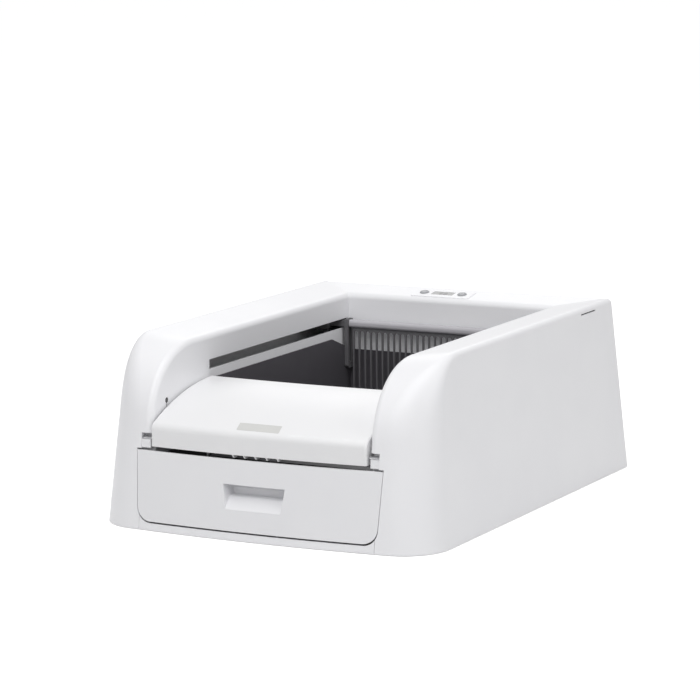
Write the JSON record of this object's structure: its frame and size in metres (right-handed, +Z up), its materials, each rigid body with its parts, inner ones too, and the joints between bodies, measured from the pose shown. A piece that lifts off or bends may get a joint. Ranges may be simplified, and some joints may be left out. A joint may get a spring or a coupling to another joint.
{
  "type": "self-cleaning litter box",
  "caption": "Self-cleaning litter box: moulded white housing, front waste drawer, hinged entry step and a belt-driven rake over a dark litter pan.",
  "frame": {"origin": "middle of the footprint, on the floor", "axes": "+Z up, -Y towards the drawer front, +X to the right seen from the front"},
  "size_m": [0.5298, 0.6897, 0.26],
  "materials": {
    "white_shell": "satin moulded ABS",
    "white_drawer": "satin moulded ABS",
    "white_step": "satin moulded ABS",
    "pan_grey": "fine-textured polypropylene",
    "rake_grey": "polished dark-grey nylon",
    "comb_grey": "moulded nylon",
    "acetal": "machined acetal",
    "black_plastic": "moulded",
    "steel": "ground",
    "screw_steel": "zinc plated",
    "belt_rubber": "reinforced neoprene",
    "foot_rubber": "soft rubber",
    "board_green": "glass-fibre board",
    "lens_dark": "polished acrylic",
    "button_grey": "soft-touch",
    "bin_grey": "moulded polypropylene"
  },
  "bodies": {
    "housing": {"outer_shell": "white_shell", "base_frame": "white_shell", "rubber_feet": "foot_rubber", "base_screws": "screw_steel", "litter_pan": "pan_grey", "drawer_rail_left": "acetal", "drawer_rail_right": "acetal", "hinge_block_left": "white_shell", "hinge_block_right": "white_shell", "guide_rod_left": "steel", "guide_rod_right": "steel", "rod_block_front_left": "black_plastic", "rod_block_front_right": "black_plastic", "rod_block_rear_left": "black_plastic", "rod_block_rear_right": "black_plastic", "belt_left": "belt_rubber", "belt_right": "belt_rubber", "idler_bracket_left": "black_plastic", "idler_bracket_right": "black_plastic", "axle_clips": "screw_steel", "shaft_bearing_left": "acetal", "shaft_bearing_right": "acetal", "gearmotor": "steel", "motor_bracket": "steel", "motor_screws": "screw_steel", "beam_sensor_left": "lens_dark", "beam_sensor_right": "lens_dark", "control_board": "board_green", "control_panel": "white_shell", "display_lens": "lens_dark", "panel_board": "board_green", "power_socket": "black_plastic", "home_switch": "black_plastic", "front_switch": "black_plastic"},
    "drawer": {"drawer_front": "white_drawer", "drawer_tray": "white_drawer", "waste_bin": "bin_grey", "drawer_screws": "screw_steel"},
    "step": {"entry_step": "white_step", "step_hinge_pins": "steel"},
    "rake": {"carriage_left": "comb_grey", "carriage_right": "comb_grey"},
    "comb": {"rake_beam": "rake_grey", "rake_comb": "comb_grey"},
    "drive": {"drive_shaft": "steel", "drive_pulley_left": "acetal", "drive_pulley_right": "acetal", "drive_gear": "acetal"},
    "pinion": {"motor_pinion": "steel"},
    "idler_left": {"idler_pulley_left": "acetal"},
    "idler_right": {"idler_pulley_right": "acetal"},
    "power_key": {"power_button": "button_grey"},
    "cycle_key": {"cycle_button": "button_grey"}
  },
  "joints": [
    {"name": "drawer_slide", "type": "slide", "parent": "housing", "child": "drawer", "axis": [0, -1, 0], "range_m": [0, 0.13]},
    {"name": "step_hinge", "type": "hinge", "parent": "housing", "child": "step", "pos_m": [0, -0.316, 0.128], "axis": [1, 0, 0], "range_deg": [0, 95]},
    {"name": "rake_travel", "type": "slide", "parent": "housing", "child": "rake", "axis": [0, -1, 0], "range_m": [0, 0.398]},
    {"name": "comb_drop", "type": "slide", "parent": "rake", "child": "comb", "axis": [0, 0, -1], "range_m": [0, 0.054]},
    {"name": "shaft_turn", "type": "hinge", "parent": "housing", "child": "drive", "pos_m": [0, 0.298, 0.22904], "axis": [-1, 0, 0], "range_deg": [0, 1912]},
    {"name": "pinion_turn", "type": "hinge", "parent": "housing", "child": "pinion", "pos_m": [0.082, 0.298, 0.20091], "axis": [1, 0, 0], "range_deg": [0, 3824]},
    {"name": "idler_left_turn", "type": "hinge", "parent": "housing", "child": "idler_left", "pos_m": [-0.225, -0.179, 0.22904], "axis": [-1, 0, 0], "range_deg": [0, 1912]},
    {"name": "idler_right_turn", "type": "hinge", "parent": "housing", "child": "idler_right", "pos_m": [0.225, -0.179, 0.22904], "axis": [-1, 0, 0], "range_deg": [0, 1912]},
    {"name": "power_press", "type": "slide", "parent": "housing", "child": "power_key", "axis": [0, 0.159, -0.9873], "range_m": [0, 0.0015], "stiffness_N_per_m": 500, "springref_m": -0.002},
    {"name": "cycle_press", "type": "slide", "parent": "housing", "child": "cycle_key", "axis": [0, 0.159, -0.9873], "range_m": [0, 0.0015], "stiffness_N_per_m": 500, "springref_m": -0.002}
  ],
  "couplings": [
    {"joint": "shaft_turn", "follows": "rake_travel", "rad_per_m": 83.333},
    {"joint": "pinion_turn", "follows": "rake_travel", "rad_per_m": 166.67},
    {"joint": "idler_left_turn", "follows": "rake_travel", "rad_per_m": 83.333},
    {"joint": "idler_right_turn", "follows": "rake_travel", "rad_per_m": 83.333}
  ]
}
